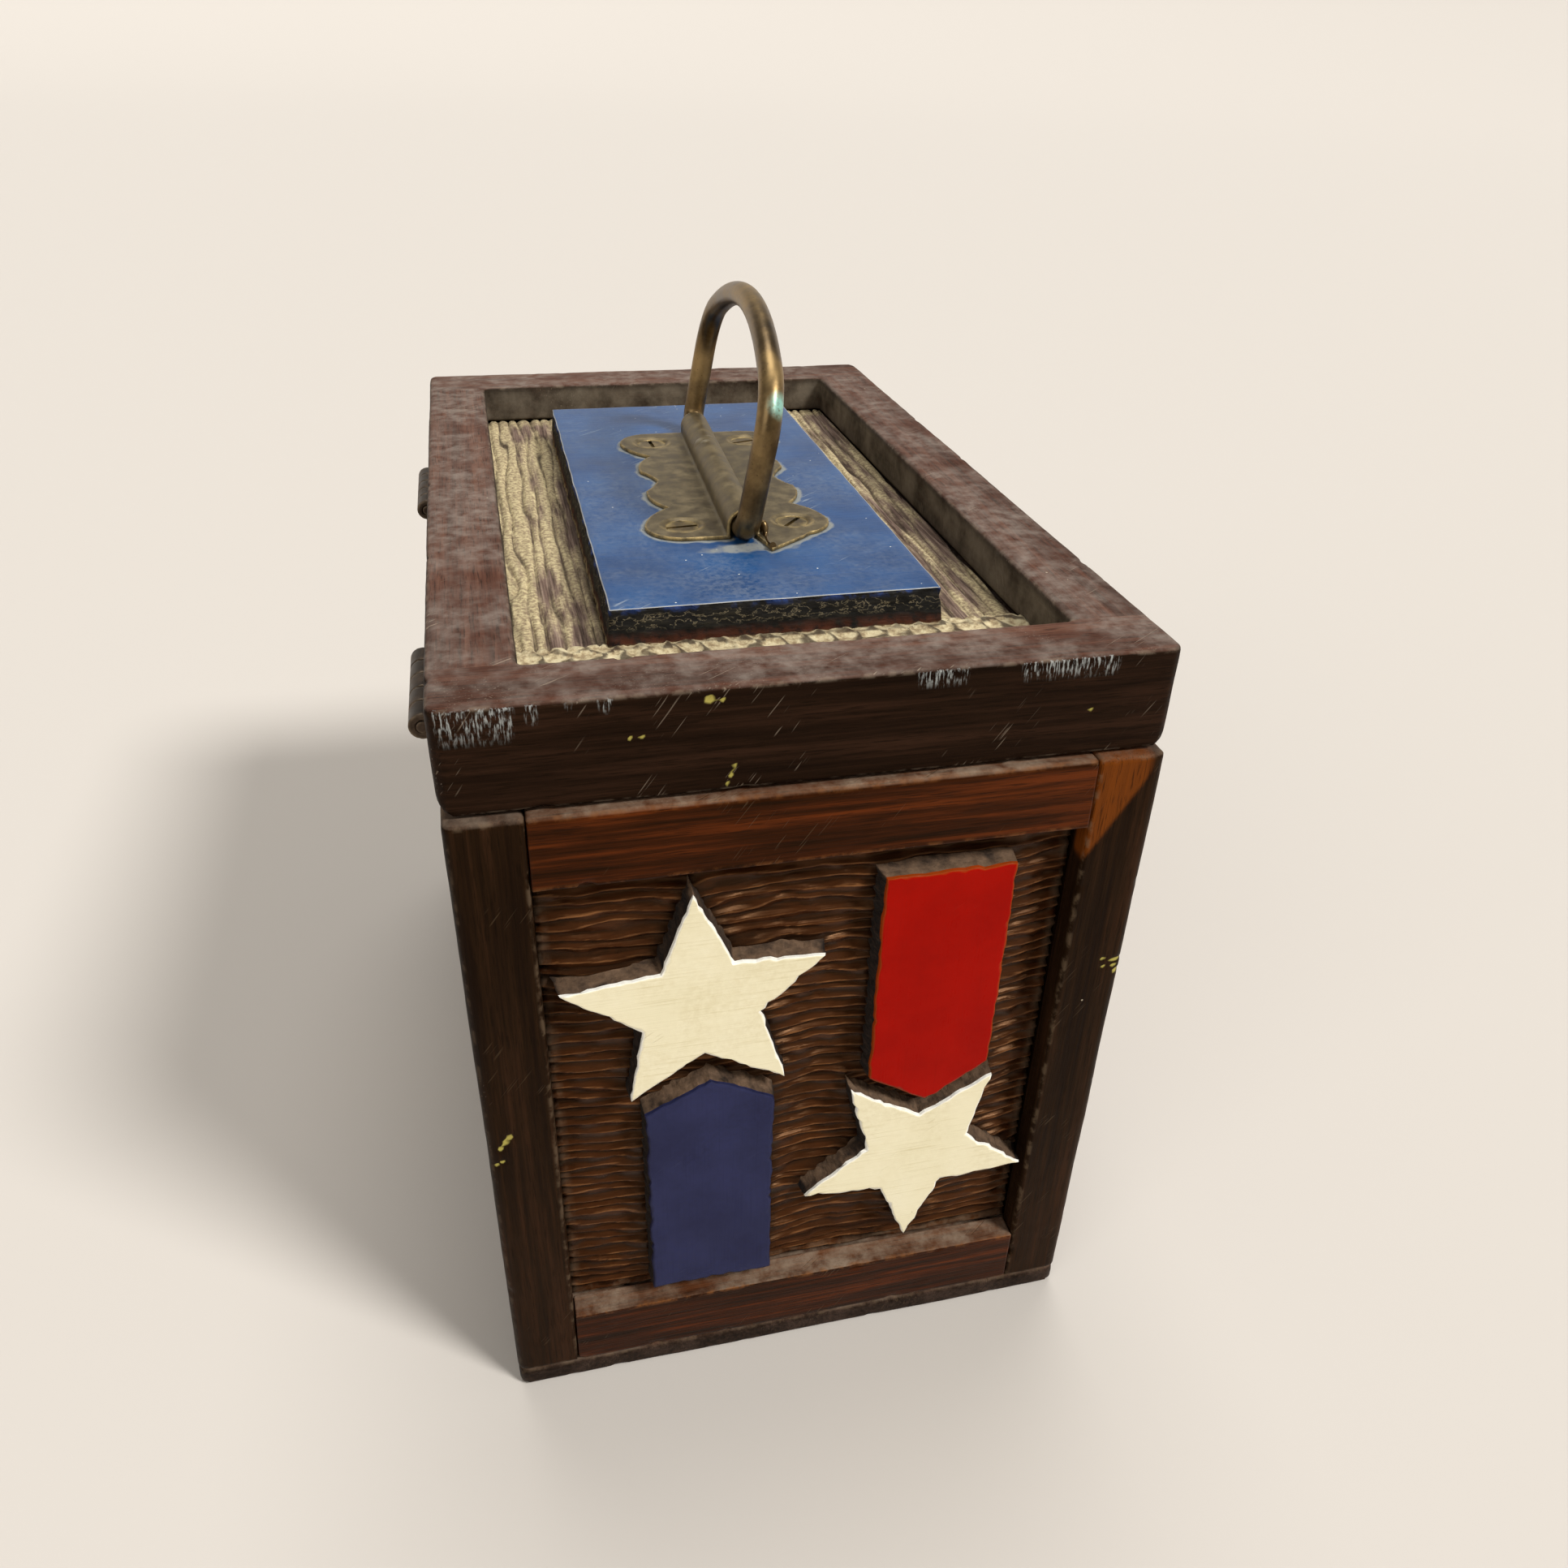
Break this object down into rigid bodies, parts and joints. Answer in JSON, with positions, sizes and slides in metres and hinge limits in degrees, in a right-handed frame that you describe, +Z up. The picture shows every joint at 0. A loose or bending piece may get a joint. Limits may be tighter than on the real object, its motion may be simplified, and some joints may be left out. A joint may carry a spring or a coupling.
{
  "type": "carved wooden box with hinged lid",
  "caption": "Frame-and-panel wooden box with carved stars and bars, a hinged lid with a drop bail handle, and a swinging side catch.",
  "frame": {"origin": "middle of the flat underside of the base board", "axes": "+Z up, -Y towards the front end with the carved panel, +X towards the side with the catch; the hinges are on the -X side"},
  "size_m": [0.1414, 0.2156, 0.2143],
  "materials": {
    "dark_wood": "stained, worn satin",
    "lid_wood": "dark stain, worn and dusty",
    "rail_wood": "reddish stain, satin varnish",
    "carved_wood": "gouged, stained, partly painted",
    "lid_panel_wood": "gouged ground, blue gloss paint on the block",
    "hidden_wood": "bare",
    "aged_brass": "tarnished",
    "dark_brass": "dark patina with rubbed highlights",
    "hinge_steel": "browned",
    "screw_steel": "dull"
  },
  "bodies": {
    "case": {"base_board": "dark_wood", "base_screws": "screw_steel", "bottom_rail_back": "rail_wood", "bottom_rail_front": "rail_wood", "bottom_rail_left": "rail_wood", "bottom_rail_right": "rail_wood", "catch_pin": "aged_brass", "catch_plate": "aged_brass", "catch_screws": "screw_steel", "hinge_back_case_leaf": "hinge_steel", "hinge_back_pin": "hinge_steel", "hinge_front_case_leaf": "hinge_steel", "hinge_front_pin": "hinge_steel", "hinge_screws_case": "screw_steel", "panel_back": "carved_wood", "panel_front": "carved_wood", "panel_left": "carved_wood", "panel_right": "carved_wood", "post_back_left": "dark_wood", "post_back_right": "dark_wood", "post_front_left": "dark_wood", "post_front_right": "dark_wood", "top_rail_back": "rail_wood", "top_rail_front": "rail_wood", "top_rail_left": "rail_wood", "top_rail_right": "rail_wood"},
    "lid": {"catch_keeper": "aged_brass", "handle_plate": "aged_brass", "handle_screws": "aged_brass", "hinge_back_lid_leaf": "hinge_steel", "hinge_front_lid_leaf": "hinge_steel", "hinge_screws_lid": "screw_steel", "keeper_pins": "aged_brass", "lid_dowels": "hidden_wood", "lid_panel": "lid_panel_wood", "lid_rail_back": "lid_wood", "lid_rail_front": "lid_wood", "lid_side_left": "lid_wood", "lid_side_right": "lid_wood"},
    "handle": {"handle_bail": "dark_brass"},
    "catch": {"catch_lever": "aged_brass"}
  },
  "joints": [
    {"name": "lid_hinge", "type": "hinge", "parent": "case", "child": "lid", "pos_m": [-0.0677, 0, 0.1519], "axis": [0, -1, 0], "range_deg": [0, 180]},
    {"name": "handle_pivot", "type": "hinge", "parent": "lid", "child": "handle", "pos_m": [0.0009, -0.0002, 0.1738], "axis": [0.0349, 0.9994, 0], "range_deg": [-100.4, 65.1]},
    {"name": "catch_pivot", "type": "hinge", "parent": "case", "child": "catch", "pos_m": [0.0681, 0.0055, 0.1458], "axis": [0, 1, 0], "range_deg": [0, 170]}
  ]
}
